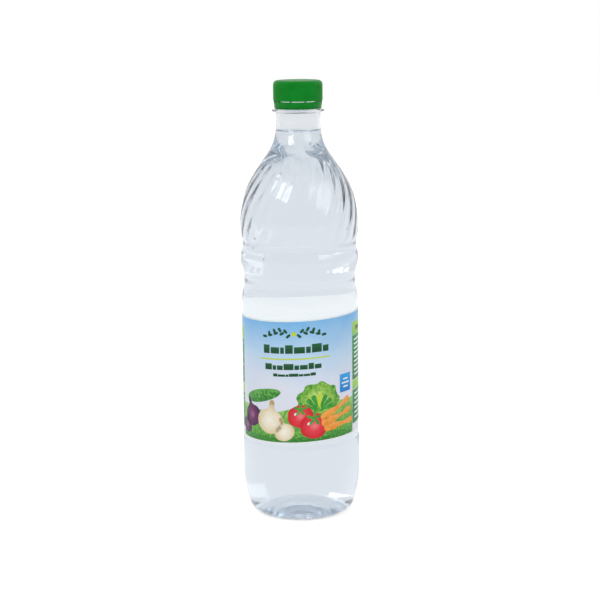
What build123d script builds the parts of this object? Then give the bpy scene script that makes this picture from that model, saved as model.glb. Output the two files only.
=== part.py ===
"""A clear one-litre vinegar bottle: blown shell, vinegar, wrapped label and screw cap.

Millimetres, +Z up, origin at the centre of the ring that the bottle stands on. The front of
the label faces -Y. Every height is stacked from the foot upwards, so a changed size moves all
that lies above it.
"""
import os
from math import atan2, cos, degrees, pi, radians, sin, sqrt, tan

from build123d import *

# ---------------------------------------------------------------- driving dimensions
# shell: foot and lower body
body_radius = 39.0
heel_radius = 70.5  # the long, slow curve of the side into the heel
heel_angle = radians(19.7)  # how far that curve turns before the foot round takes over
foot_round = 8.0
foot_flat = 1.0  # width of the ring that touches the table
push_up = 11.0  # height of the dome under the bottle
wall = 0.4
floor_wall = 1.2
lower_body_height = 20.8  # straight side above the heel
panel_step = 3.0  # height of the slope from the lower body into the label panel

# shell: radial ribs pressed into the foot
rib_count = 12
rib_radius = 2.4
rib_drop = 0.6  # how far the rib's axis lies under the table
rib_start = 19.0

# label and its panel
label_height = 81.2
label_thickness = 0.1
label_tilt = radians(2.6)  # the label is stuck on slightly askew, higher on the +X side
label_clearance = 0.05
panel_depth = 0.8  # how far the panel lies inside the lower body
panel_margin = 0.3

# shell: rings between panel and shoulder, each as its rise and its depth inside the body
ring_turns = [(3.5, 0.65), (16.65, 2.55), (13.1, 0.4), (9.2, 1.75), (9.0, 0.45)]
crest_height = 4.0

# shell: shoulder and throat
shoulder_radius = 60.5
shoulder_angle = radians(35.0)
throat_radius = 30.3

# shell: twisted flutes on the shoulder
flute_count = 24
flute_depth = 0.9
flute_share = 0.82  # of the pitch that a flute takes up
flute_twist = radians(36.0)
flute_foot = 7.0  # how far the flutes reach down under the crest
flute_top = 10.0  # how far under the neck they end
flute_stations = 9

# neck, support ring and mouth
neck_radius = 14.6
neck_bore = 12.6
neck_height = 9.1
support_radius = 17.0
support_height = 1.6
support_bevel = 0.5
finish_radius = 13.8
finish_height = 16.8
rim_round = 0.5

# screw cap
cap_radius = 15.9
cap_plate = 1.6
cap_round = 2.7
skirt_bore = 14.5
band_gap = 0.5  # between the support ring and the tamper band
band_height = 4.6
band_radius = 15.7
band_foot_radius = 15.1
slit_height = 0.5
bridge_count = 10
bridge_width = 0.9
knurl_count = 90
knurl_radius = 0.45
knurl_depth = 0.2
knurl_margin = 0.4  # plain strip between the slit and the knurls

# contents
headspace = 30.8  # from the rim down to the vinegar
vinegar_clearance = 0.05

# ---------------------------------------------------------------- worked-out places
heel_top = heel_radius * sin(heel_angle) + foot_round * (1 - sin(heel_angle))
foot_radius = body_radius - heel_radius * (1 - cos(heel_angle)) - foot_round * cos(heel_angle)
dome_foot = foot_radius - foot_flat

panel_radius = body_radius - panel_depth
label_bore = panel_radius + label_clearance
label_radius = label_bore + label_thickness
label_swing = label_radius * sin(label_tilt)  # how far the tilt lifts one side
panel_height = label_height + 2 * (label_swing + panel_margin)
step_bottom = heel_top + lower_body_height
panel_bottom = step_bottom + panel_step
panel_top = panel_bottom + panel_height
label_middle = (panel_bottom + panel_top) / 2


def stacked_turns():
    """The side's turning points from the lower body to the crest, as (radius, height)."""
    turns = [
        (body_radius, heel_top),
        (body_radius, step_bottom),
        (panel_radius, panel_bottom),
        (panel_radius, panel_top),
    ]
    height = panel_top
    for rise, depth in ring_turns:
        height += rise
        turns.append((body_radius - depth, height))
    turns.append((turns[-1][0], height + crest_height))
    return turns


side_turns = stacked_turns()
crest_radius, crest_top = side_turns[-1]


def slope_rise(skin, bore):
    """Height of the straight slope between shoulder and throat, `skin` inside the surface."""
    arcs = shoulder_radius - skin + throat_radius
    drop = crest_radius - skin - bore - arcs * (1 - cos(shoulder_angle))
    return drop / tan(shoulder_angle)


def throat_top(skin, bore):
    """Where the throat's curve runs out into the straight neck."""
    arcs = shoulder_radius - skin + throat_radius
    return crest_top + arcs * sin(shoulder_angle) + slope_rise(skin, bore)


neck_bottom = throat_top(0, neck_radius)
support_bottom = neck_bottom + neck_height
support_top = support_bottom + support_height
rim = support_top + finish_height
cap_top = rim + cap_plate
band_bottom = support_top + band_gap
slit_bottom = band_bottom + band_height
slit_top = slit_bottom + slit_height


# ---------------------------------------------------------------- shell and contents
def body_outline(skin, floor_skin, bore, top):
    """Draws half the bottle's section, `skin` inside its outside and with a neck of `bore`."""
    rise = push_up + floor_skin - skin
    dome = (dome_foot**2 + rise**2) / (2 * rise)
    half_angle = degrees(atan2(dome_foot, dome - rise))
    turn = degrees(shoulder_angle)
    CenterArc((0, skin + rise - dome), dome, 90, -half_angle)
    Line((dome_foot, skin), (foot_radius, skin))
    CenterArc((foot_radius, foot_round), foot_round - skin, -90, 90 - degrees(heel_angle))
    heel = (body_radius - heel_radius, heel_top)
    CenterArc(heel, heel_radius - skin, -degrees(heel_angle), degrees(heel_angle))
    for (radius, low), (next_radius, high) in zip(side_turns, side_turns[1:]):
        start = (radius - skin, low)
        end = (next_radius - skin, high)
        if radius == next_radius:
            Line(start, end)
        else:
            middle = (low + high) / 2
            Bezier(start, (start[0], middle), (end[0], middle), end)
    shoulder = CenterArc(
        (crest_radius - shoulder_radius, crest_top), shoulder_radius - skin, 0, turn
    )
    neck_foot = throat_top(skin, bore)
    throat = CenterArc((bore + throat_radius, neck_foot), throat_radius, 180 + turn, -turn)
    Line(shoulder @ 1, throat @ 0)
    Polyline((bore, neck_foot), (bore, top), (0, top), (0, push_up + floor_skin))


def surface_radius(height):
    """Outside radius of the plain body between the last groove and the neck."""
    groove_radius, groove_height = side_turns[-3]
    ring_height = side_turns[-2][1]
    if height < ring_height:
        share = (height - groove_height) / (ring_height - groove_height)
        return groove_radius + (crest_radius - groove_radius) * (1 - cos(pi * share)) / 2
    if height < crest_top:
        return crest_radius
    arc_end = crest_top + shoulder_radius * sin(shoulder_angle)
    on_arc = min(height, arc_end) - crest_top
    drop = shoulder_radius - sqrt(shoulder_radius**2 - on_arc**2)
    return crest_radius - drop - max(height - arc_end, 0) * tan(shoulder_angle)


def flute_centre(share, skin):
    """Centre and radius of the round cutter at `share` of a flute's length."""
    low = side_turns[-2][1] - flute_foot
    high = neck_bottom - throat_radius * sin(shoulder_angle) - flute_top + neck_height
    height = low + (high - low) * share
    radius = surface_radius(height)
    step = 0.1
    slope = (surface_radius(height + step) - surface_radius(height - step)) / (2 * step)
    normal = Vector(1, 0, -slope).normalized()
    scale = radius / crest_radius
    width = flute_share * 2 * pi * radius / flute_count
    depth = flute_depth * scale
    cutter = width**2 / (8 * depth) + depth / 2
    fade = 1 - 1.25 * abs(2 * share - 1) ** 6
    centre = Vector(radius, 0, height) + normal * (cutter - depth * fade)
    spin = degrees(flute_twist * share)
    return centre.rotate(Axis.Z, spin), normal.rotate(Axis.Z, spin), cutter + skin


def flute(skin):
    """One flute's cutter, grown by `skin` so that it also shapes the inside of the wall."""
    step = 0.01
    with BuildPart() as cutter:
        for index in range(flute_stations):
            share = index / (flute_stations - 1)
            centre, normal, radius = flute_centre(share, skin)
            ahead = flute_centre(share + step, skin)[0]
            behind = flute_centre(share - step, skin)[0]
            with BuildSketch(Plane(centre, x_dir=normal, z_dir=ahead - behind)):
                Circle(radius)
        loft()
    return cutter.part


def foot_rib(skin):
    """The round bar that presses one radial rib across the foot, grown by `skin`."""
    with BuildPart() as bar:
        with BuildSketch(Plane.YZ.offset(rib_start)):
            with Locations((0, -rib_drop)):
                Circle(rib_radius + skin)
        extrude(amount=body_radius - rib_start)
    return bar.part


def body_solid(skin, floor_skin, bore, top):
    """The solid inside a surface that lies `skin` within the bottle's outside."""
    with BuildPart() as body:
        with BuildSketch(Plane.XZ):
            with BuildLine():
                body_outline(skin, floor_skin, bore, top)
            make_face()
        revolve(axis=Axis.Z)
        with PolarLocations(0, flute_count):
            add(flute(skin), mode=Mode.SUBTRACT)
        with PolarLocations(0, rib_count):
            add(foot_rib(skin), mode=Mode.SUBTRACT)
    return body.part


os.makedirs("parts", exist_ok=True)

# The shell: fluted body, support ring and mouth, hollow down to the foot.
with BuildPart() as bottle:
    add(body_solid(0, 0, neck_radius, support_top))
    with BuildSketch(Plane.XZ):
        Polygon(
            (neck_bore, support_bottom),
            (support_radius - support_bevel, support_bottom),
            (support_radius, support_bottom + support_bevel),
            (support_radius, support_top - support_bevel),
            (support_radius - support_bevel, support_top),
            (neck_bore, support_top),
            align=None,
        )
    revolve(axis=Axis.Z)
    with BuildSketch(Plane.XY.offset(support_top)):
        Circle(finish_radius)
    extrude(amount=finish_height)
    fillet(bottle.edges().sort_by(Axis.Z)[-1], rim_round)
    add(body_solid(wall, floor_wall, neck_bore, rim + cap_plate), mode=Mode.SUBTRACT)
bottle.part.label = "bottle"
export_step(bottle.part, "parts/bottle.step")

# The vinegar: what fills the shell up to its level in the throat.
with BuildPart() as vinegar:
    add(
        body_solid(
            wall + vinegar_clearance,
            floor_wall + vinegar_clearance,
            neck_bore - vinegar_clearance,
            rim,
        )
    )
    split(bisect_by=Plane.XY.offset(rim - headspace), keep=Keep.BOTTOM)
vinegar.part.label = "vinegar"
export_step(vinegar.part, "parts/vinegar.step")

# The label: a closed sleeve whose two edges lie in parallel planes, tilted across the front.
label_plane = Plane(
    (0, 0, label_middle), x_dir=(cos(label_tilt), 0, sin(label_tilt)),
    z_dir=(-sin(label_tilt), 0, cos(label_tilt)),
)
with BuildPart() as label:
    with BuildSketch(Plane.XY.offset(panel_bottom - panel_step)):
        Circle(label_radius)
        Circle(label_bore, mode=Mode.SUBTRACT)
    extrude(amount=panel_height + 2 * panel_step)
    with BuildSketch(label_plane):
        Circle(2 * label_radius)
    extrude(amount=label_height / 2, both=True, mode=Mode.INTERSECT)
label.part.label = "label"
export_step(label.part, "parts/label.step")

# The cap: knurled skirt, round top edge and a tamper band that hangs on small bridges.
with BuildPart() as cap:
    with BuildSketch(Plane.XZ):
        with BuildLine():
            Polyline(
                (cap_radius - cap_round, cap_top), (0, cap_top), (0, rim), (skirt_bore, rim),
                (skirt_bore, band_bottom), (band_foot_radius, band_bottom),
                (band_radius, slit_bottom), (cap_radius, slit_top),
                (cap_radius, cap_top - cap_round),
            )
            CenterArc((cap_radius - cap_round, cap_top - cap_round), cap_round, 0, 90)
        make_face()
    revolve(axis=Axis.Z)
    with BuildSketch(Plane.XY.offset(slit_top + knurl_margin)):
        with PolarLocations(cap_radius + knurl_radius - knurl_depth, knurl_count):
            Circle(knurl_radius)
    extrude(amount=cap_top - cap_round - slit_top - knurl_margin, mode=Mode.SUBTRACT)
    with BuildSketch(Plane.XY.offset(slit_bottom)):
        Circle(cap_radius + knurl_radius)
        Circle(skirt_bore - knurl_radius, mode=Mode.SUBTRACT)
        with PolarLocations(cap_radius, bridge_count):
            Rectangle(2 * cap_radius - skirt_bore, bridge_width, mode=Mode.SUBTRACT)
    extrude(amount=slit_height, mode=Mode.SUBTRACT)
cap.part.label = "cap"
export_step(cap.part, "parts/cap.step")
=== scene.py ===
"""Looks of a clear bottle of vinegar: shell, vinegar, printed label, cap, floor and lights."""
from math import atan2, cos, pi, radians, sin, sqrt, tan, tau

import bpy
from bpy.props import FloatProperty, FloatVectorProperty, IntProperty, PointerProperty
from bpy.types import Operator, Panel, PropertyGroup
from mathutils import Matrix, Vector


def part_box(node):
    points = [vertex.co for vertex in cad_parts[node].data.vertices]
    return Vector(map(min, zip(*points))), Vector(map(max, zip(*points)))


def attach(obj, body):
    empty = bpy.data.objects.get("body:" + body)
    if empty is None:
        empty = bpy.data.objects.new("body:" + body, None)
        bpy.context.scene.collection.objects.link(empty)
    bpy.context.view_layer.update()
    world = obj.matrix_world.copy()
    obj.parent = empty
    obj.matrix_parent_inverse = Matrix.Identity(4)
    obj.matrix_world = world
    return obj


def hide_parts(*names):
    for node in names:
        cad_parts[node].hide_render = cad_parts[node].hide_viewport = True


bl_info = {
    "name": "Vinegar Bottle",
    "version": (1, 0, 0),
    "blender": (4, 5, 0),
    "location": "View3D > Sidebar > Bottle",
    "description": "Builds a clear bottle of vinegar with its label and cap",
    "category": "Object",
}

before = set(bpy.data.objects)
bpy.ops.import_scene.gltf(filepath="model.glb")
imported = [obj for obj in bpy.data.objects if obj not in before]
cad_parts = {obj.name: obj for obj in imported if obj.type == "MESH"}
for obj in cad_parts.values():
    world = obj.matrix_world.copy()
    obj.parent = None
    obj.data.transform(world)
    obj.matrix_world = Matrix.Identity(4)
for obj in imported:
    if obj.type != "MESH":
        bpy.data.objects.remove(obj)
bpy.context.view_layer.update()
MM = 0.001
SHELL_LOW, SHELL_HIGH = (Vector(corner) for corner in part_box("bottle"))
CAP_LOW, CAP_HIGH = (Vector(corner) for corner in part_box("cap"))
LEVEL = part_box("vinegar")[1][2]
LABEL_LOW, LABEL_HIGH = (Vector(corner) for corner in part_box("label"))

# The shell's own form, repeated from the construction so that each piece lies where it should.
HEEL_RADIUS = 70.5 * MM
HEEL_ANGLE = radians(19.7)
FOOT_ROUND = 8.0 * MM
FOOT_FLAT = 1.0 * MM
PUSH_UP = 11.0 * MM
FLOOR_WALL = 1.2 * MM
LOWER_HEIGHT = 20.8 * MM
PANEL_STEP = 3.0 * MM
PANEL_DEPTH = 0.8 * MM
PANEL_MARGIN = 0.3 * MM
LABEL_TALL = 81.2 * MM
LABEL_TILT = radians(2.6)
RING_TURNS = [(3.5, 0.65), (16.65, 2.55), (13.1, 0.4), (9.2, 1.75), (9.0, 0.45)]
CREST = 4.0 * MM
SHOULDER_RADIUS = 60.5 * MM
SHOULDER_ANGLE = radians(35.0)
THROAT_RADIUS = 30.3 * MM
NECK_RADIUS = 14.6 * MM
NECK_BORE = 12.6 * MM
NECK_HEIGHT = 9.1 * MM
SUPPORT_HEIGHT = 1.6 * MM
SUPPORT_RADIUS = 17.0 * MM
FINISH_RADIUS = 13.8 * MM
FLUTE_FOOT = 7.0 * MM
FLUTE_TOP = 3.0 * MM
RIB_COUNT = 12
RIB_RADIUS = 2.4 * MM
RIB_DROP = 0.6 * MM
RIB_REACH = 1.8 * MM

BODY_RADIUS = SHELL_HIGH.x
RIM = SHELL_HIGH.z
LABEL_RADIUS = LABEL_HIGH.x
HEEL_TOP = HEEL_RADIUS * sin(HEEL_ANGLE) + FOOT_ROUND * (1 - sin(HEEL_ANGLE))
FOOT_RADIUS = (
    BODY_RADIUS - HEEL_RADIUS * (1 - cos(HEEL_ANGLE)) - FOOT_ROUND * cos(HEEL_ANGLE)
)
LABEL_MIDDLE = (LABEL_LOW.z + LABEL_HIGH.z) / 2
GIRTH = tau * LABEL_RADIUS
FRONT_SHARE = 0.375  # of the girth that one front panel takes; a side panel takes the rest
FRONT = FRONT_SHARE * GIRTH
SIDE = GIRTH / 2 - FRONT
FRONT_TURN = radians(-6.5)
LAYER = 0.012 * MM  # how far each layer of print lies over the one under it
MERGE = 0.001 * MM
FACE_TALL = 1.6 * MM  # tallest face of the turned side
PRINT_STRIP = 1.6 * MM  # widest face of the wrapped print
PAPER = 0.09 * MM
EDGE_BEVEL = 0.5 * MM


def linear(code):
    """Turns an sRGB hex code into linear red, green, blue and alpha."""
    parts = [int(code[i : i + 2], 16) / 255 for i in (1, 3, 5)]
    return [p / 12.92 if p <= 0.04045 else ((p + 0.055) / 1.055) ** 2.4 for p in parts] + [1.0]


class BottleShell(PropertyGroup):
    """Sizes of the blown shell and what it holds."""

    wall: FloatProperty(
        name="Wall", description="Thickness of the blown wall", default=0.4 * MM, unit="LENGTH"
    )
    flutes: IntProperty(name="Flutes", description="Flutes round the shoulder", default=24)
    flute_depth: FloatProperty(
        name="Flute depth", description="Depth of a flute", default=0.17 * MM, unit="LENGTH"
    )
    flute_twist: FloatProperty(
        name="Flute twist", description="Turn of a flute from foot to top",
        default=radians(36.0), unit="ROTATION",
    )
    steps: IntProperty(name="Steps", description="Faces round the body", default=288)
    overlap: FloatProperty(
        name="Overlap", description="How far the vinegar reaches into the wall",
        default=0.15 * MM, unit="LENGTH",
    )
    tint: FloatVectorProperty(
        name="Tint", description="Colour of the clear wall's surface", subtype="COLOR",
        size=4, min=0.0, max=1.0, default=linear("#F0F2F5"),
    )
    depth_tint: FloatVectorProperty(
        name="Depth tint", description="Colour that light takes on inside the wall",
        subtype="COLOR", size=4, min=0.0, max=1.0, default=linear("#A9BDB9"),
    )


class BottleCap(PropertyGroup):
    """Sizes and colour of the screw cap."""

    knurls: IntProperty(name="Knurls", description="Fine ribs round the skirt", default=90)
    knurl_depth: FloatProperty(
        name="Knurl depth", description="Depth between the ribs", default=0.16 * MM,
        unit="LENGTH",
    )
    bridges: IntProperty(name="Bridges", description="Links from skirt to band", default=10)
    green: FloatVectorProperty(
        name="Green", description="Darker green of the plastic", subtype="COLOR",
        size=4, min=0.0, max=1.0, default=linear("#007A1C"),
    )
    light_green: FloatVectorProperty(
        name="Light green", description="Lighter green of the plastic", subtype="COLOR",
        size=4, min=0.0, max=1.0, default=linear("#028424"),
    )


# ---------------------------------------------------------------- materials
def add_node(tree, kind, settings=None, values=None, links=None):
    """Adds a node, sets its settings and input values, and links its inputs."""
    node = tree.nodes.new(kind)
    for name, value in (settings or {}).items():
        setattr(node, name, value)
    for name, value in (values or {}).items():
        node.inputs[name].default_value = value
    for name, source in (links or {}).items():
        tree.links.new(source, node.inputs[name])
    return node


def new_material(name, values):
    """A material with one Principled shader; gives back the material, its tree and shader."""
    material = bpy.data.materials.new(name)
    material.use_nodes = True
    tree = material.node_tree
    shader = tree.nodes["Principled BSDF"]
    for key, value in values.items():
        shader.inputs[key].default_value = value
    return material, tree, shader


def ramp_node(tree, source, stops):
    """A colour ramp over source, with stops of (place, linear colour)."""
    ramp = add_node(tree, "ShaderNodeValToRGB", links={"Fac": source})
    elements = ramp.color_ramp.elements
    while len(elements) < len(stops):
        elements.new(0.5)
    for element, (place, colour) in zip(elements, stops):
        element.position = place
        element.color = colour
    return ramp.outputs["Color"]


def clear_pet():
    """Blown PET: clear and glossy, faintly blue-grey, its wall a little uneven."""
    shell = bpy.context.scene.bottle_shell
    material, tree, shader = new_material(
        "Clear blown PET",
        {"Base Color": shell.tint, "Roughness": 0.015, "IOR": 1.575, "Transmission Weight": 1.0},
    )
    place = add_node(tree, "ShaderNodeTexCoord")
    stretch = add_node(
        tree, "ShaderNodeMapping", values={"Scale": (1.0, 1.0, 0.35)},
        links={"Vector": place.outputs["Object"]},
    )
    ripple = add_node(
        tree, "ShaderNodeTexNoise", values={"Scale": 90.0, "Detail": 2.0, "Roughness": 0.5},
        links={"Vector": stretch.outputs["Vector"]},
    )
    bump = add_node(
        tree, "ShaderNodeBump", values={"Strength": 0.35, "Distance": 0.6 * MM},
        links={"Height": ripple.outputs["Fac"]},
    )
    flatten = add_node(
        tree, "ShaderNodeMapping", values={"Scale": (0.25, 0.25, 1.0)},
        links={"Vector": place.outputs["Object"]},
    )
    bands = add_node(
        tree, "ShaderNodeTexNoise", values={"Scale": 110.0, "Detail": 1.0},
        links={"Vector": flatten.outputs["Vector"]},
    )
    second = add_node(
        tree, "ShaderNodeBump", values={"Strength": 0.35, "Distance": 0.9 * MM},
        links={"Height": bands.outputs["Fac"], "Normal": bump.outputs["Normal"]},
    )
    tree.links.new(second.outputs["Normal"], shader.inputs["Normal"])
    tint = add_node(
        tree, "ShaderNodeVolumeAbsorption",
        values={"Color": shell.depth_tint, "Density": 15.0},
    )
    output = tree.nodes["Material Output"]
    tree.links.new(tint.outputs["Volume"], output.inputs["Volume"])
    return material


def spirit_vinegar():
    """Spirit vinegar: clear and colourless, nearly water."""
    return new_material(
        "Spirit vinegar",
        {"Base Color": linear("#F4F8FB"), "Roughness": 0.0, "IOR": 1.34,
         "Transmission Weight": 1.0},
    )[0]


def air_bubble():
    """Air in vinegar: bends light the other way, so that a bubble has a dark rim."""
    return new_material(
        "Air in vinegar",
        {"Base Color": linear("#FFFFFF"), "Roughness": 0.0, "IOR": 0.746,
         "Transmission Weight": 1.0},
    )[0]


def cap_plastic():
    """Moulded polyethylene, dyed through: even satin green with a fine mould grain."""
    sizes = bpy.context.scene.bottle_cap
    material, tree, shader = new_material(
        "Moulded green polyethylene",
        {"Roughness": 0.42, "IOR": 1.54, "Specular IOR Level": 0.12},
    )
    place = add_node(tree, "ShaderNodeTexCoord")
    grain = add_node(
        tree, "ShaderNodeTexNoise", values={"Scale": 2500.0, "Detail": 3.0},
        links={"Vector": place.outputs["Object"]},
    )
    cloud = add_node(
        tree, "ShaderNodeTexNoise", values={"Scale": 120.0, "Detail": 2.0},
        links={"Vector": place.outputs["Object"]},
    )
    tree.links.new(
        ramp_node(tree, cloud.outputs["Fac"], [(0.35, sizes.green), (0.65, sizes.light_green)]),
        shader.inputs["Base Color"],
    )
    bump = add_node(
        tree, "ShaderNodeBump", values={"Strength": 0.12, "Distance": 0.05 * MM},
        links={"Height": grain.outputs["Fac"]},
    )
    tree.links.new(bump.outputs["Normal"], shader.inputs["Normal"])
    return material


def print_ink(name, stops, axis="Y", reach=(0.0, 1.0), mottle=0.0, grain=300.0):
    """Printed paper whose colour runs through hex stops along the print's own map.

    axis is Y or R, where R runs outwards from the middle of a motif; reach is the stretch
    of that axis that the stops cover. mottle is how far noise shifts the stops.
    """
    material, tree, shader = new_material(
        name, {"Roughness": 0.4, "IOR": 1.5, "Specular IOR Level": 0.2, "Coat Weight": 0.04}
    )
    place = add_node(tree, "ShaderNodeUVMap", {"uv_map": "print"})
    parts = add_node(tree, "ShaderNodeSeparateXYZ", links={"Vector": place.outputs["UV"]})
    if axis == "R":
        length = add_node(
            tree, "ShaderNodeVectorMath", {"operation": "LENGTH"},
            links={"Vector": place.outputs["UV"]},
        )
        source = length.outputs["Value"]
    else:
        source = parts.outputs[axis]
    spread = add_node(
        tree, "ShaderNodeMapRange", values={"From Min": reach[0], "From Max": reach[1]},
        links={"Value": source},
    )
    value = spread.outputs["Result"]
    if mottle:
        coordinate = add_node(tree, "ShaderNodeTexCoord")
        noise = add_node(
            tree, "ShaderNodeTexNoise", values={"Scale": grain, "Detail": 3.0},
            links={"Vector": coordinate.outputs["Object"]},
        )
        shift = add_node(
            tree, "ShaderNodeMapRange",
            values={"From Min": 0.3, "From Max": 0.7, "To Min": -mottle, "To Max": mottle},
            links={"Value": noise.outputs["Fac"]},
        )
        total = add_node(tree, "ShaderNodeMath", {"operation": "ADD"})
        tree.links.new(value, total.inputs[0])
        tree.links.new(shift.outputs["Result"], total.inputs[1])
        value = total.outputs["Value"]
    colours = [(place, linear(code)) for place, code in stops]
    tree.links.new(ramp_node(tree, value, colours), shader.inputs["Base Color"])
    return material


# ---------------------------------------------------------------- modelling helpers
def in_edit(piece):
    """Enters edit mode on piece alone."""
    bpy.ops.object.select_all(action="DESELECT")
    piece.select_set(True)
    bpy.context.view_layer.objects.active = piece
    bpy.ops.object.mode_set(mode="EDIT")


def finish_piece(piece, material=None, angle=40.0):
    """Bakes the place into the mesh, smooths the shading and gives any material passed in."""
    bpy.ops.object.select_all(action="DESELECT")
    piece.select_set(True)
    bpy.context.view_layer.objects.active = piece
    bpy.ops.object.transform_apply(location=True, rotation=True, scale=True)
    bpy.ops.object.shade_smooth_by_angle(angle=radians(angle))
    if material is not None:
        piece.data.materials.clear()
        piece.data.materials.append(material)


def join(pieces, name):
    """Joins pieces into one object of that name."""
    bpy.ops.object.select_all(action="DESELECT")
    for piece in pieces:
        piece.select_set(True)
    bpy.context.view_layer.objects.active = pieces[0]
    bpy.ops.object.join()
    pieces[0].name = name
    return pieces[0]


def lathe(name, section, steps):
    """Turns a section, a list of (radius, height), once round the Z axis."""
    bpy.ops.object.select_all(action="DESELECT")
    bpy.ops.mesh.primitive_plane_add(size=MM, location=(section[0][0], 0, section[0][1]))
    piece = bpy.context.object
    piece.name = name
    bpy.ops.object.mode_set(mode="EDIT")
    bpy.ops.mesh.merge(type="CENTER")
    for start, end in zip(section, section[1:]):
        move = (end[0] - start[0], 0, end[1] - start[1])
        bpy.ops.mesh.extrude_vertices_move(TRANSFORM_OT_translate={"value": move})
    bpy.ops.mesh.select_all(action="SELECT")
    bpy.ops.mesh.spin(steps=steps, angle=tau, center=(0, 0, 0), axis=(0, 0, 1))
    bpy.ops.mesh.select_all(action="SELECT")
    bpy.ops.mesh.remove_doubles(threshold=MERGE)
    bpy.ops.mesh.normals_make_consistent(inside=False)
    bpy.ops.object.mode_set(mode="OBJECT")
    bpy.ops.object.transform_apply(location=True, rotation=True, scale=True)
    return piece


def displace(piece, name, weights, strength, direction="NORMAL"):
    """Moves each vertex by strength times its weight, and applies the move."""
    group = piece.vertex_groups.new(name=name)
    for vertex in piece.data.vertices:
        weight = weights(vertex.co)
        if weight > 0:
            group.add([vertex.index], min(weight, 1.0), "REPLACE")
    push = piece.modifiers.new(name, "DISPLACE")
    push.direction = direction
    push.mid_level = 0.0
    push.strength = strength
    push.vertex_group = name
    bpy.context.view_layer.objects.active = piece
    bpy.ops.object.modifier_apply(modifier=name)
    piece.vertex_groups.clear()


def arc(centre, radius, start, end, steps):
    """Points of an arc in the section, between two angles in radians."""
    turns = [start + (end - start) * index / steps for index in range(steps + 1)]
    return [(centre[0] + radius * cos(turn), centre[1] + radius * sin(turn)) for turn in turns]


def swell(start, end, steps):
    """An S-shaped run that leaves start and reaches end upright."""
    points = []
    for index in range(1, steps + 1):
        t = index / steps
        across = 3 * t * t - 2 * t**3
        along = 1.5 * t * (1 - t) + t**3
        points.append(
            (start[0] + (end[0] - start[0]) * across, start[1] + (end[1] - start[1]) * along)
        )
    return points


def side_turns():
    """The side's turning points, upwards from the heel."""
    step_bottom = HEEL_TOP + LOWER_HEIGHT
    panel = BODY_RADIUS - PANEL_DEPTH
    panel_bottom = step_bottom + PANEL_STEP
    swing = LABEL_RADIUS * sin(LABEL_TILT)
    height = panel_bottom + LABEL_TALL + 2 * (swing + PANEL_MARGIN)
    turns = [
        (BODY_RADIUS, HEEL_TOP), (BODY_RADIUS, step_bottom), (panel, panel_bottom),
        (panel, height),
    ]
    for rise, depth in RING_TURNS:
        height += rise * MM
        turns.append((BODY_RADIUS - depth * MM, height))
    turns.append((turns[-1][0], height + CREST))
    return turns


TURNS = side_turns()
CREST_RADIUS, CREST_TOP = TURNS[-1]


def throat_top(skin, bore):
    """Height at which the throat's curve runs out into the straight neck."""
    arcs = SHOULDER_RADIUS - skin + THROAT_RADIUS
    drop = CREST_RADIUS - skin - bore - arcs * (1 - cos(SHOULDER_ANGLE))
    return CREST_TOP + arcs * sin(SHOULDER_ANGLE) + drop / tan(SHOULDER_ANGLE)


NECK_BOTTOM = throat_top(0, NECK_RADIUS)
SUPPORT_BOTTOM = NECK_BOTTOM + NECK_HEIGHT
SUPPORT_TOP = SUPPORT_BOTTOM + SUPPORT_HEIGHT


def body_section(skin, floor_skin, bore):
    """Half the section, skin inside the outside, from the floor's middle to the neck's foot."""
    rise = PUSH_UP + floor_skin - skin
    foot = FOOT_RADIUS - FOOT_FLAT
    dome = (foot**2 + rise**2) / (2 * rise)
    half = atan2(foot, dome - rise)
    points = arc((0, skin + rise - dome), dome, pi / 2, pi / 2 - half, 14)
    points[0] = (0, PUSH_UP + floor_skin)
    points += arc((FOOT_RADIUS, FOOT_ROUND), FOOT_ROUND - skin, -pi / 2, -HEEL_ANGLE, 10)
    heel = (BODY_RADIUS - HEEL_RADIUS, HEEL_TOP)
    points += arc(heel, HEEL_RADIUS - skin, -HEEL_ANGLE, 0, 10)[1:]
    for (radius, low), (next_radius, high) in zip(TURNS, TURNS[1:]):
        start = (radius - skin, low)
        end = (next_radius - skin, high)
        steps = max(2, round((high - low) / FACE_TALL))
        if radius == next_radius:
            steps = 3
        points += swell(start, end, steps)
    shoulder = (CREST_RADIUS - SHOULDER_RADIUS, CREST_TOP)
    points += arc(shoulder, SHOULDER_RADIUS - skin, 0, SHOULDER_ANGLE, 24)[1:]
    throat = arc(
        (bore + THROAT_RADIUS, throat_top(skin, bore)), THROAT_RADIUS,
        pi + SHOULDER_ANGLE, pi, 10,
    )
    low, high = points[-1], throat[0]
    spans = 7
    for index in range(1, spans):
        share = index / spans
        points.append(
            (low[0] + (high[0] - low[0]) * share, low[1] + (high[1] - low[1]) * share)
        )
    return points + throat


def press_forms(piece, skin):
    """Presses the shoulder's flutes and the foot's ribs into a turned body."""
    shell = bpy.context.scene.bottle_shell
    low = TURNS[-2][1] - FLUTE_FOOT
    high = NECK_BOTTOM - THROAT_RADIUS * sin(SHOULDER_ANGLE) - FLUTE_TOP

    def flute(place):
        share = (place.z - low) / (high - low)
        if not 0 < share < 1:
            return 0.0
        radius = sqrt(place.x**2 + place.y**2)
        turn = atan2(place.y, place.x) - shell.flute_twist * share
        across = 0.5 + 0.5 * cos(turn * shell.flutes)
        fade = max(0.0, 1 - abs(2 * share - 1) ** 6)
        return across * fade * radius / CREST_RADIUS

    def rib(place):
        radius = sqrt(place.x**2 + place.y**2)
        if place.z > RIB_REACH + skin or radius < FOOT_RADIUS / 2:
            return 0.0
        pitch = tau / RIB_COUNT
        turn = (atan2(place.y, place.x) + pitch / 2) % pitch - pitch / 2
        across = radius * sin(turn)
        bar = RIB_RADIUS + skin
        if abs(across) >= bar:
            return 0.0
        top = sqrt(bar**2 - across**2) - RIB_DROP
        return max(0.0, top - place.z) / (RIB_REACH + skin)

    displace(piece, "Flutes", flute, -shell.flute_depth)
    displace(piece, "Ribs", rib, RIB_REACH + skin, "Z")


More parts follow.
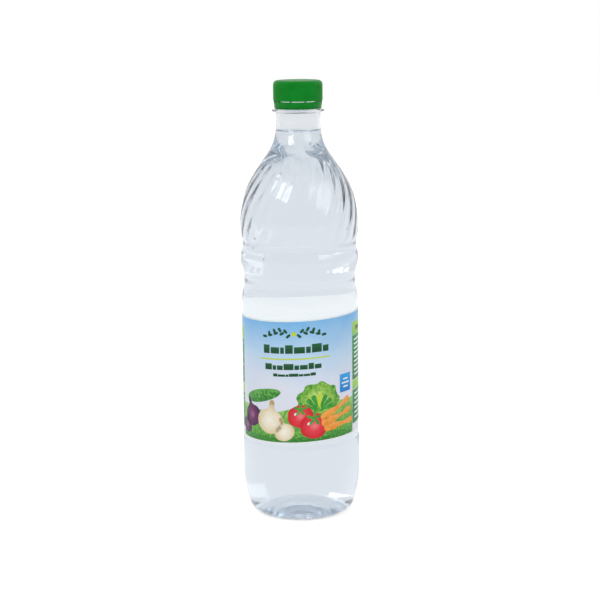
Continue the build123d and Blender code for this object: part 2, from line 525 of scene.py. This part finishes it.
# ---------------------------------------------------------------- bottle, vinegar, cap
class MESH_OT_bottle_shell(Operator):
    """Turn the shell's outside and inside, press their forms and join them at the rim"""

    bl_idname = "mesh.bottle_shell"
    bl_label = "Bottle shell"

    def execute(self, context):
        shell = context.scene.bottle_shell
        middle = (FINISH_RADIUS + NECK_BORE) / 2
        bevel = EDGE_BEVEL
        outside = body_section(0, 0, NECK_RADIUS) + [
            (NECK_RADIUS, SUPPORT_BOTTOM - bevel),
            (NECK_RADIUS + 0.2 * MM, SUPPORT_BOTTOM),
            (SUPPORT_RADIUS - bevel, SUPPORT_BOTTOM + 0.1 * MM),
            (SUPPORT_RADIUS, SUPPORT_BOTTOM + bevel),
            (SUPPORT_RADIUS, SUPPORT_TOP - bevel),
            (SUPPORT_RADIUS - bevel, SUPPORT_TOP),
            (FINISH_RADIUS + 0.3 * MM, SUPPORT_TOP),
            (FINISH_RADIUS, SUPPORT_TOP + 0.3 * MM),
            (FINISH_RADIUS, RIM - bevel),
            (FINISH_RADIUS - bevel, RIM),
            (middle, RIM),
        ]
        inside = body_section(shell.wall, FLOOR_WALL, NECK_BORE) + [
            (NECK_BORE, RIM - bevel), (NECK_BORE + 0.2 * MM, RIM), (middle, RIM),
        ]
        outer = lathe("Shell_outside", outside, shell.steps)
        press_forms(outer, 0)
        inner = lathe("Shell_inside", inside, shell.steps)
        press_forms(inner, shell.wall)
        piece = join([outer, inner], "Bottle_shell")
        in_edit(piece)
        bpy.ops.mesh.select_all(action="SELECT")
        bpy.ops.mesh.remove_doubles(threshold=MERGE)
        bpy.ops.mesh.normals_make_consistent(inside=False)
        bpy.ops.object.mode_set(mode="OBJECT")
        finish_piece(piece, clear_pet(), 50.0)
        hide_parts("bottle")
        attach(piece, "root")
        return {"FINISHED"}


class MESH_OT_bottle_vinegar(Operator):
    """Turn the vinegar a little into the wall, with its edge drawn up where it meets it"""

    bl_idname = "mesh.bottle_vinegar"
    bl_label = "Vinegar"

    def execute(self, context):
        shell = context.scene.bottle_shell
        skin = shell.wall - shell.overlap
        bore = NECK_BORE + shell.overlap
        section = body_section(skin, FLOOR_WALL - shell.overlap, bore)
        section = [point for point in section if point[1] < LEVEL]
        edge = section[-1][0]
        rise = 1.3 * MM  # of the edge, drawn up the wall
        section += [
            (edge, LEVEL + rise), (edge - 0.5 * MM, LEVEL + 0.7 * rise),
            (edge - 1.2 * MM, LEVEL + 0.25 * rise), (edge - 2.2 * MM, LEVEL + 0.05 * rise),
            (edge - 4.0 * MM, LEVEL), (0, LEVEL),
        ]
        piece = lathe("Vinegar_fill", section, shell.steps)
        press_forms(piece, skin)
        finish_piece(piece, spirit_vinegar(), 50.0)
        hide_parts("vinegar")
        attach(piece, "root")
        return {"FINISHED"}


class MESH_OT_bottle_bubbles(Operator):
    """Set a few air bubbles against the inside of the wall"""

    bl_idname = "mesh.bottle_bubbles"
    bl_label = "Bubbles"

    def execute(self, context):
        places = [
            (-58, 0.2457, 0.9), (-42, 0.2316, 0.7), (-115, 0.2280, 0.6), (-150, 0.2130, 0.9),
            (-20, 0.2200, 1.1), (-24, 0.2120, 0.8), (-165, 0.1990, 0.9), (-140, 0.1870, 0.7),
            (-145, 0.1800, 0.6), (-35, 0.1920, 0.6), (-128, 0.1740, 0.5), (-60, 0.1600, 0.5),
        ]
        section = body_section(context.scene.bottle_shell.wall, FLOOR_WALL, NECK_BORE)
        pieces = []
        for turn, height, radius in places:
            near = min(section, key=lambda point: abs(point[1] - height))
            reach = near[0] - (radius + 1.3) * MM
            angle = radians(turn)
            bpy.ops.object.select_all(action="DESELECT")
            bpy.ops.mesh.primitive_uv_sphere_add(
                segments=20, ring_count=12, radius=radius * MM,
                location=(reach * cos(angle), reach * sin(angle), height),
            )
            pieces.append(context.object)
            context.object.scale = (1.0, 1.0, 1.25)
        piece = join(pieces, "Air_bubbles")
        finish_piece(piece, air_bubble(), 80.0)
        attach(piece, "root")
        return {"FINISHED"}


class MESH_OT_bottle_cap(Operator):
    """Turn the cap and its tamper band, rib the skirt and set the bridges between them"""

    bl_idname = "mesh.bottle_cap"
    bl_label = "Screw cap"

    def execute(self, context):
        sizes = context.scene.bottle_cap
        radius = CAP_HIGH.x
        top = CAP_HIGH.z
        edge = 2.7 * MM
        bore = 14.5 * MM
        band_low = 15.1 * MM
        band_high = 15.7 * MM
        band_top = CAP_LOW.z + 4.6 * MM
        slit = 0.5 * MM
        skirt = band_top + slit
        nick = 0.15 * MM
        bridge = (1.0 * MM, 0.9 * MM, 0.6 * MM)
        section = [(0, top), (radius - edge, top)]
        section += arc((radius - edge, top - edge), edge, pi / 2, 0, 10)[1:]
        section += [
            (radius, top - edge - 0.5 * MM), (radius, (top + skirt) / 2),
            (radius, skirt + 0.6 * MM), (radius, skirt + 0.4 * MM), (radius, skirt + nick),
            (radius - nick, skirt), (bore, skirt), (bore, RIM), (0, RIM),
        ]
        cap = lathe("Cap_skirt", section, 8 * sizes.knurls)

        def knurl(place):
            flat = sqrt(place.x**2 + place.y**2)
            if flat < radius - nick / 2 or not skirt + slit < place.z < top - edge:
                return 0.0
            turn = atan2(place.y, place.x)
            return (0.5 + 0.5 * cos(turn * sizes.knurls)) ** 3

        displace(cap, "Knurls", knurl, -sizes.knurl_depth)
        band = lathe(
            "Tamper_band",
            [(bore, CAP_LOW.z), (band_low - nick, CAP_LOW.z), (band_low, CAP_LOW.z + nick),
             (band_high, band_top - nick), (band_high - nick, band_top), (bore, band_top),
             (bore, CAP_LOW.z)],
            2 * sizes.knurls,
        )
        pieces = [cap, band]
        for index in range(sizes.bridges):
            turn = tau * index / sizes.bridges
            place = (band_low * cos(turn), band_low * sin(turn), (band_top + skirt) / 2)
            bpy.ops.object.select_all(action="DESELECT")
            bpy.ops.mesh.primitive_cube_add(size=1, location=place, rotation=(0, 0, turn))
            context.object.scale = bridge
            pieces.append(context.object)
        piece = join(pieces, "Screw_cap")
        finish_piece(piece, cap_plastic(), 45.0)
        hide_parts("cap")
        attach(piece, "root")
        return {"FINISHED"}


# ---------------------------------------------------------------- label and its print
def flat_shape(points, layer, material, corners=False, unit=1.0, centre=(0.0, 0.0), turn=0.0):
    """A filled flat outline in millimetres on the unrolled label, with its own print map."""
    curve = bpy.data.curves.new("shape", "CURVE")
    curve.dimensions = "2D"
    curve.fill_mode = "BOTH"
    curve.resolution_u = 6
    spline = curve.splines.new("BEZIER")
    spline.bezier_points.add(len(points) - 1)
    spline.use_cyclic_u = True
    for knot, (across, up) in zip(spline.bezier_points, points):
        x = across * cos(turn) - up * sin(turn)
        y = across * sin(turn) + up * cos(turn)
        knot.co = ((centre[0] + x * unit) * MM, (centre[1] + y * unit) * MM, 0)
        knot.handle_left_type = knot.handle_right_type = "VECTOR" if corners else "AUTO"
    piece = bpy.data.objects.new("shape", curve)
    bpy.context.collection.objects.link(piece)
    bpy.ops.object.select_all(action="DESELECT")
    piece.select_set(True)
    bpy.context.view_layer.objects.active = piece
    bpy.ops.object.convert(target="MESH")
    piece = bpy.context.object
    map_print(piece, centre, unit * MM, turn)
    piece.data.transform(
        Matrix.Translation((0, -layer * LAYER, 0)) @ Matrix.Rotation(pi / 2, 4, "X")
    )
    piece.data.materials.clear()
    piece.data.materials.append(material)
    return piece


def map_print(piece, centre, unit, turn):
    """Gives the flat mesh its print map, in the motif's own units round its centre."""
    mesh = piece.data
    layer = mesh.uv_layers.new(name="print")
    for loop in mesh.loops:
        place = mesh.vertices[loop.vertex_index].co
        x = (place.x - centre[0] * MM) / unit
        y = (place.y - centre[1] * MM) / unit
        layer.data[loop.index].uv = (x * cos(turn) + y * sin(turn), y * cos(turn) - x * sin(turn))


def ring_points(count, radius, squash=1.0, wave=0.0, waves=0, phase=0.0):
    """Points round an oval whose edge may wave."""
    points = []
    for index in range(count):
        turn = tau * index / count
        reach = radius * (1 + wave * cos(waves * turn + phase))
        points.append((reach * cos(turn), reach * sin(turn) * squash))
    return points


def box_points(width, height):
    """Corners of an upright box round the middle."""
    return [
        (-width / 2, -height / 2), (width / 2, -height / 2),
        (width / 2, height / 2), (-width / 2, height / 2),
    ]


def leaf_points(length, width):
    """A pointed leaf from its stalk at the middle out along X."""
    return [(0, 0), (length * 0.35, width / 2), (length, 0), (length * 0.35, -width / 2)]


class LabelInks:
    """The inks that the print is made of."""

    def __init__(self):
        self.sky = print_ink(
            "Sky ink", [(0.0, "#E6E6F2"), (0.45, "#E0E5F3"), (0.72, "#BFDBF4"), (1.0, "#7DBBEC")],
            "Y", (0, LABEL_TALL / MM), 0.05, 45.0,
        )
        self.field = print_ink(
            "Field ink", [(0.0, "#4C9A3C"), (0.5, "#6FB24C"), (1.0, "#9CCB6C")],
            "Y", (-14, 14), 0.35, 420.0,
        )
        self.row = print_ink("Crop row ink", [(0.0, "#3D8B35"), (1.0, "#4F9A41")], mottle=0.2)
        self.grass = print_ink(
            "Grass ink", [(0.1, "#2F7A2E"), (0.5, "#4F9A41"), (0.9, "#79BD4C")],
            "Y", (-4, 6), 0.5, 900.0,
        )
        self.green = print_ink("Dark green ink", [(0.0, "#144A2A"), (1.0, "#1B5A34")], mottle=0.1)
        self.rule = print_ink("Yellow-green ink", [(0.0, "#C4D93A"), (1.0, "#B4CF2E")])
        self.back = print_ink("Paper back with painted glow", [(0.0, "#F4F5F4"), (1.0, "#F7F8F8")], mottle=0.3)
        # The paper's back glows a warm white: painted light on the label's inner side, seen through
        # the bottle.
        glow = self.back.node_tree.nodes["Principled BSDF"]
        glow.inputs["Emission Color"].default_value = linear("#FBF8F1")
        glow.inputs["Emission Strength"].default_value = 1.05
        self.pale = print_ink("Pale edge ink", [(0.0, "#F2F6F4"), (1.0, "#F8FAF8")])
        self.tomato = print_ink(
            "Tomato ink", [(0.0, "#F2848A"), (0.3, "#E6404C"), (0.75, "#D0222F"), (1.0, "#961420")],
            "R", (0, 1.25), 0.05, 200.0,
        )
        self.garlic = print_ink(
            "Garlic ink", [(0.0, "#FBF7EA"), (0.45, "#F0E6CC"), (0.85, "#D9C69A"), (1.0, "#B99E6C")],
            "R", (0, 1.2), 0.08, 350.0,
        )
        self.lettuce = print_ink(
            "Lettuce ink", [(0.0, "#D5E99A"), (0.4, "#9CCB58"), (0.8, "#5DA03A"), (1.0, "#3A7F2C")],
            "R", (0, 1.15), 0.28, 420.0,
        )
        self.plum = print_ink(
            "Red onion ink", [(0.0, "#A0648F"), (0.3, "#6E2C63"), (0.8, "#431545"), (1.0, "#260B2B")],
            "R", (0, 1.15), 0.08, 300.0,
        )
        self.carrot = print_ink(
            "Carrot ink", [(0.0, "#C9601B"), (0.35, "#EE8C2E"), (0.6, "#F7AE58"), (1.0, "#D4701F")],
            "Y", (-1, 1), 0.16, 500.0,
        )
        self.marrow = print_ink(
            "Marrow ink", [(0.0, "#1E5A26"), (0.45, "#3B8A36"), (0.62, "#6DB356"), (1.0, "#2A6B2C")],
            "Y", (-1, 1), 0.22, 500.0,
        )
        self.tag = print_ink("Tag ink", [(0.0, "#1C7FD0"), (1.0, "#37A8EC")], "Y", (-1, 1))
        self.bright = print_ink(
            "Bright green ink", [(0.0, "#86C440"), (1.0, "#A6D34E")], "Y", (-6, 6), 0.05
        )
        self.deep = print_ink("Deep green ink", [(0.0, "#17793B"), (1.0, "#1C8542")], mottle=0.06)
        self.leaf = print_ink(
            "Leaf ink", [(0.0, "#1D6E2C"), (0.5, "#3D9A3A"), (1.0, "#6DBB4A")], "Y", (-1, 1), 0.2
        )


def sprigs(ink, offset, shapes):
    """A garland of leaf sprigs that runs both ways from a small berry."""
    for side in (-1, 1):
        for index in range(9):
            x = offset + side * (2.2 + index * 2.0)
            y = 72.2 + 1.6 * sin(index * 0.55)
            lean = (0.7 if index % 2 else -0.7) + 0.1 * index
            turn = lean if side > 0 else pi - lean
            shapes.append(flat_shape(leaf_points(3.4, 1.7), 3, ink.green, centre=(x, y), turn=turn))
    shapes.append(flat_shape(ring_points(8, 1.5), 4, ink.rule, centre=(offset, 72.4)))


def words(ink, widths, height, centre, layer, shapes):
    """Plain bars of uneven width in a row, where a line of wording would stand."""
    gap = height * 0.14
    total = sum(widths) + gap * (len(widths) - 1)
    x = centre[0] - total / 2
    for index, width in enumerate(widths):
        tall = height * (1.0 if index % 3 == 0 else 0.74)
        place = (x + width / 2, centre[1] - (height - tall) / 2)
        shapes.append(flat_shape(box_points(width, tall), layer, ink, True, centre=place))
        x += width + gap


def tomato(ink, centre, size, shapes, layer):
    """A tomato with its shine and green star."""
    body = ring_points(12, 1.0, 0.88, 0.03, 5)
    shapes.append(flat_shape(body, layer, ink.tomato, unit=size, centre=centre))
    for index in range(5):
        star = (centre[0], centre[1] + size * 0.55)
        turn = tau * index / 5 + 0.3
        shapes.append(
            flat_shape(leaf_points(0.55, 0.16), layer + 1, ink.leaf, unit=size, centre=star, turn=turn)
        )
    shine = (centre[0] - size * 0.4, centre[1] + size * 0.2)
    shapes.append(
        flat_shape(ring_points(8, 0.12, 0.6), layer + 1, ink.pale, unit=size, centre=shine, turn=0.8)
    )


def bulb(ink, centre, size, shapes, layer, lean=0.0):
    """A bulb with a pointed neck."""
    outline = [
        (0.1, 1.35), (-0.12, 1.35), (-0.22, 0.85), (-0.85, 0.4), (-0.95, -0.3), (-0.4, -0.82),
        (0.4, -0.82), (0.95, -0.3), (0.85, 0.4), (0.22, 0.85),
    ]
    shapes.append(flat_shape(outline, layer, ink, unit=size, centre=centre, turn=lean))


def front_panel(ink, offset, shapes):
    """The picture side: fields, vegetables, garland, bars and a plain tag."""
    edge = FRONT / MM / 2
    halves = 15
    hill = [(edge, -10), (-edge, -10)]
    for index in range(2 * halves + 1):
        x = -edge + index * edge / halves
        hill.append((x, 10 + 2.2 * sin(x * 0.11) + 0.07 * x))
    shapes.append(flat_shape(hill, 1, ink.field, True, centre=(offset, 14)))
    for index in range(7):
        x = -40 + index * 13
        shapes.append(
            flat_shape(
                [(x, 6), (x + 1.6, 6), (x + 7 + index, 22), (x + 6.3 + index, 22)], 2, ink.row,
                True, centre=(offset, 0),
            )
        )
    blades = [(-45.1, 0.8), (45.1, 0.8), (45.1, 8)]
    for index in range(29):
        blades.append((43.5 - index * 3.1, 9.5 if index % 2 else 7.2))
    blades.append((-45.1, 8))
    shapes.append(
        flat_shape([(x, y - 4) for x, y in blades], 3, ink.grass, True, centre=(offset, 4))
    )
    sprigs(ink, offset, shapes)
    words(ink.green, [4.5, 6, 2.5, 5, 7, 3, 6.5, 4], 5.6, (offset + 1, 62.5), 3, shapes)
    shapes.append(flat_shape(box_points(48, 0.9), 3, ink.rule, True, centre=(offset, 56.0)))
    words(ink.green, [5, 2.5, 4, 6.5, 3, 5, 3.5, 4.5], 4.0, (offset - 1, 51.0), 3, shapes)
    words(ink.green, [3, 5, 2, 6, 3, 4, 3.5], 2.0, (offset, 45.6), 3, shapes)
    shapes.append(
        flat_shape(
            ring_points(26, 1.0, 0.86, 0.07, 9), 4, ink.lettuce, unit=14.5,
            centre=(offset + 16, 27),
        )
    )
    for index in range(7):
        turn = 0.25 + index * 0.42
        colour = ink.rule if index == 3 else ink.leaf
        shapes.append(
            flat_shape(leaf_points(0.9, 0.14), 5, colour, unit=12.5, centre=(offset + 16, 21),
                       turn=turn)
        )
    shapes.append(
        flat_shape(
            ring_points(14, 1.0, 0.28, 0.02, 3), 4, ink.marrow, unit=15.0,
            centre=(offset - 24, 31), turn=0.22,
        )
    )
    for centre, size, lean in (((-33, 17), 8.5, 0.3), ((-40, 9), 6.0, -0.2)):
        bulb(ink.plum, (offset + centre[0], centre[1]), size, shapes, 6, lean)
    for centre, size, lean in (((-17, 15), 10.0, -0.15), ((-7, 8), 7.0, 0.25)):
        bulb(ink.garlic, (offset + centre[0], centre[1]), size, shapes, 7, lean)
    tomato(ink, (offset + 4, 18), 8.5, shapes, 8)
    tomato(ink, (offset + 13, 11), 9.5, shapes, 9)
    root = [(-1.0, 0.16), (-1.05, 0.0), (-1.0, -0.16), (0.2, -0.1), (1.05, 0.0), (0.2, 0.1)]
    for centre, turn in (((30, 15), 0.25), ((32, 9.5), 0.05), ((29, 20.5), 0.42)):
        shapes.append(
            flat_shape(root, 10, ink.carrot, unit=12.0, centre=(offset + centre[0], centre[1]),
                       turn=turn)
        )
    shapes.append(
        flat_shape(box_points(1.7, 2), 11, ink.tag, True, unit=6.0, centre=(offset + 37, 36))
    )
    for up in (-2.6, 0, 2.6):
        shapes.append(
            flat_shape(box_points(7 - abs(up), 1.0), 12, ink.pale, True,
                       centre=(offset + 37, 36 + up))
        )


def side_panel(ink, offset, shapes):
    """The wording side: green fields with thin pale bars."""
    wide = SIDE / MM - 0.6
    blocks = [(69.5, 9, ink.bright), (50, 29.5, ink.deep), (31.8, 5.8, ink.bright),
              (17.2, 22.6, ink.deep)]
    for up, tall, colour in blocks:
        shapes.append(
            flat_shape(box_points(wide, tall), 2, colour, True, centre=(offset, up))
        )
    words(ink.green, [4, 6, 3, 5], 3.0, (offset, 69.5), 3, shapes)
    for index in range(9):
        length = wide - 5 - (index * 7 % 5) * 1.6
        place = (offset - (wide - 5 - length) / 2, 61.8 - index * 2.9)
        shapes.append(flat_shape(box_points(length, 1.0), 3, ink.pale, True, centre=place))
    for index in range(6):
        length = wide - 6 - (index * 5 % 4) * 2.2
        place = (offset - (wide - 6 - length) / 2, 25.5 - index * 3.2)
        shapes.append(flat_shape(box_points(length, 1.0), 3, ink.pale, True, centre=place))


def wrap(piece):
    """Cuts a flat print piece into narrow strips, bends it round the bottle and tilts it."""
    in_edit(piece)
    xs = [vertex.co.x for vertex in piece.data.vertices]
    low, high = min(xs), max(xs)
    for index in range(1, int((high - low) / PRINT_STRIP) + 1):
        bpy.ops.mesh.select_all(action="SELECT")
        bpy.ops.mesh.bisect(plane_co=(low + index * PRINT_STRIP, 0, 0), plane_no=(1, 0, 0))
    bpy.ops.object.mode_set(mode="OBJECT")
    bend = piece.modifiers.new("Wrap", "SIMPLE_DEFORM")
    bend.deform_method = "BEND"
    bend.deform_axis = "Z"
    bend.angle = (high - low) / LABEL_RADIUS
    bpy.ops.object.modifier_apply(modifier="Wrap")
    tilt = Matrix.Identity(4)
    tilt[2][0] = tan(LABEL_TILT)
    tilt[2][3] = LABEL_MIDDLE - LABEL_TALL / 2
    round_axis = Matrix.Rotation(FRONT_TURN, 4, "Z") @ Matrix.Translation((0, -LABEL_RADIUS, 0))
    piece.data.transform(tilt @ round_axis)


class MESH_OT_bottle_label(Operator):
    """Wrap the label's paper and its print round the bottle, edge to edge"""

    bl_idname = "mesh.bottle_label"
    bl_label = "Label"

    def execute(self, context):
        ink = LabelInks()
        tall = LABEL_TALL / MM
        start = -FRONT / MM / 2
        outline = [(start, 0), (start + GIRTH / MM, 0), (start + GIRTH / MM, tall), (start, tall)]
        paper = flat_shape(outline, 0, ink.sky, True)
        paper.name = "Label_paper"
        wrap(paper)
        thick = paper.modifiers.new("Paper", "SOLIDIFY")
        thick.thickness = PAPER
        thick.offset = -1.0
        thick.material_offset = 1
        paper.data.materials.append(ink.back)
        bpy.context.view_layer.objects.active = paper
        bpy.ops.object.modifier_apply(modifier="Paper")
        finish_piece(paper)
        shapes = []
        for offset in (0, GIRTH / MM / 2):
            front_panel(ink, offset, shapes)
            side_panel(ink, offset + (FRONT + SIDE) / MM / 2, shapes)
        margin = 0.45
        for up in (margin, tall - margin):
            edge = box_points(GIRTH / MM, 0.7)
            centre = (start + GIRTH / MM / 2, up)
            shapes.append(flat_shape(edge, 3, ink.pale, True, centre=centre))
        artwork = join(shapes, "Label_print")
        wrap(artwork)
        finish_piece(artwork)
        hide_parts("label")
        for piece in (paper, artwork):
            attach(piece, "root")
        return {"FINISHED"}


# ---------------------------------------------------------------- stage
class SCENE_OT_bottle_stage(Operator):
    """Lay the floor, light it softly and set the camera"""

    bl_idname = "scene.bottle_stage"
    bl_label = "Stage"

    def execute(self, context):
        scene = context.scene
        bpy.ops.object.select_all(action="DESELECT")
        bpy.ops.mesh.primitive_grid_add(x_subdivisions=4, y_subdivisions=4, size=8)
        floor = context.object
        floor.name = "Floor"
        material, tree, shader = new_material(
            "White painted board", {"Base Color": linear("#F4F4F4"), "Roughness": 0.9}
        )
        rays = add_node(tree, "ShaderNodeLightPath")
        seen = add_node(tree, "ShaderNodeMath", {"operation": "MAXIMUM"})
        tree.links.new(rays.outputs["Is Camera Ray"], seen.inputs[0])
        tree.links.new(rays.outputs["Is Glossy Ray"], seen.inputs[1])
        floor_glow = 0.6
        direct = add_node(tree, "ShaderNodeMath", {"operation": "MULTIPLY"}, {1: floor_glow})
        tree.links.new(seen.outputs[0], direct.inputs[0])
        shader.inputs["Emission Color"].default_value = (1, 1, 1, 1)
        tree.links.new(direct.outputs[0], shader.inputs["Emission Strength"])
        glow = add_node(tree, "ShaderNodeEmission", values={"Strength": 1.0})
        mixed = add_node(
            tree, "ShaderNodeMixShader", links={"Fac": rays.outputs["Is Transmission Ray"]}
        )
        tree.links.new(shader.outputs["BSDF"], mixed.inputs[1])
        tree.links.new(glow.outputs["Emission"], mixed.inputs[2])
        tree.links.new(mixed.outputs["Shader"], tree.nodes["Material Output"].inputs["Surface"])
        floor.data.materials.append(material)

        world = bpy.data.worlds.new("Soft white room")
        scene.world = world
        world.use_nodes = True
        tree = world.node_tree
        background = tree.nodes["Background"]
        background.inputs["Color"].default_value = (1, 1, 1, 1)
        rays = add_node(tree, "ShaderNodeLightPath")
        first = add_node(tree, "ShaderNodeMath", {"operation": "MAXIMUM"})
        tree.links.new(rays.outputs["Is Camera Ray"], first.inputs[0])
        tree.links.new(rays.outputs["Is Glossy Ray"], first.inputs[1])
        second = add_node(tree, "ShaderNodeMath", {"operation": "MAXIMUM"})
        tree.links.new(first.outputs[0], second.inputs[0])
        tree.links.new(rays.outputs["Is Transmission Ray"], second.inputs[1])
        strength = add_node(
            tree, "ShaderNodeMapRange", values={"To Min": 0.55, "To Max": 1.0},
            links={"Value": second.outputs[0]},
        )
        tree.links.new(strength.outputs["Result"], background.inputs["Strength"])

        middle = Vector((0, 0, 141.8 * MM))
        for name, place, size, power in (
            ("Key", (-0.9, -1.0, 1.3), 0.7, 9.0), ("Fill", (1.1, -0.8, 0.9), 0.9, 5.0),
        ):
            light = bpy.data.lights.new(name, "AREA")
            light.size = size
            light.energy = power
            lamp = bpy.data.objects.new(name, light)
            scene.collection.objects.link(lamp)
            lamp.location = place
            lamp.visible_glossy = False
            lamp.rotation_euler = (middle - lamp.location).to_track_quat("-Z", "Y").to_euler()

        camera = bpy.data.cameras.new("Camera")
        camera.lens = 93.6
        camera.sensor_width = 36.0
        camera.clip_start = 0.01
        viewer = bpy.data.objects.new("Camera", camera)
        scene.collection.objects.link(viewer)
        reach = 1.028
        lift_angle = radians(11.2)
        viewer.location = middle + Vector((0, -reach * cos(lift_angle), reach * sin(lift_angle)))
        aim = (middle - viewer.location).to_track_quat("-Z", "Y")
        roll = Matrix.Rotation(radians(-0.6), 4, "Z")
        viewer.rotation_euler = (aim.to_matrix().to_4x4() @ roll).to_euler()
        scene.camera = viewer
        clear_bounces = 40  # light crosses up to a dozen clear faces and back
        scene.cycles.max_bounces = clear_bounces
        scene.cycles.transmission_bounces = clear_bounces
        scene.cycles.glossy_bounces = 16
        scene.view_settings.view_transform = "Standard"
        return {"FINISHED"}


class VIEW3D_PT_bottle(Panel):
    """The bottle's sizes and its build steps"""

    bl_idname = "VIEW3D_PT_bottle"
    bl_label = "Vinegar Bottle"
    bl_space_type = "VIEW_3D"
    bl_region_type = "UI"
    bl_category = "Bottle"

    def draw(self, context):
        column = self.layout.column()
        for group in (context.scene.bottle_shell, context.scene.bottle_cap):
            for name in group.__annotations__:
                column.prop(group, name)
        for operator in OPERATORS:
            column.operator(operator.bl_idname)


OPERATORS = (
    MESH_OT_bottle_shell,
    MESH_OT_bottle_vinegar,
    MESH_OT_bottle_bubbles,
    MESH_OT_bottle_label,
    MESH_OT_bottle_cap,
    SCENE_OT_bottle_stage,
)
CLASSES = (BottleShell, BottleCap, *OPERATORS, VIEW3D_PT_bottle)


def register():
    for cls in CLASSES:
        bpy.utils.register_class(cls)
    bpy.types.Scene.bottle_shell = PointerProperty(type=BottleShell)
    bpy.types.Scene.bottle_cap = PointerProperty(type=BottleCap)


def unregister():
    del bpy.types.Scene.bottle_cap
    del bpy.types.Scene.bottle_shell
    for cls in reversed(CLASSES):
        bpy.utils.unregister_class(cls)


def main():
    register()
    bpy.ops.mesh.bottle_shell()
    bpy.ops.mesh.bottle_vinegar()
    bpy.ops.mesh.bottle_bubbles()
    bpy.ops.mesh.bottle_label()
    bpy.ops.mesh.bottle_cap()
    bpy.ops.scene.bottle_stage()


if __name__ == "__main__":
    main()
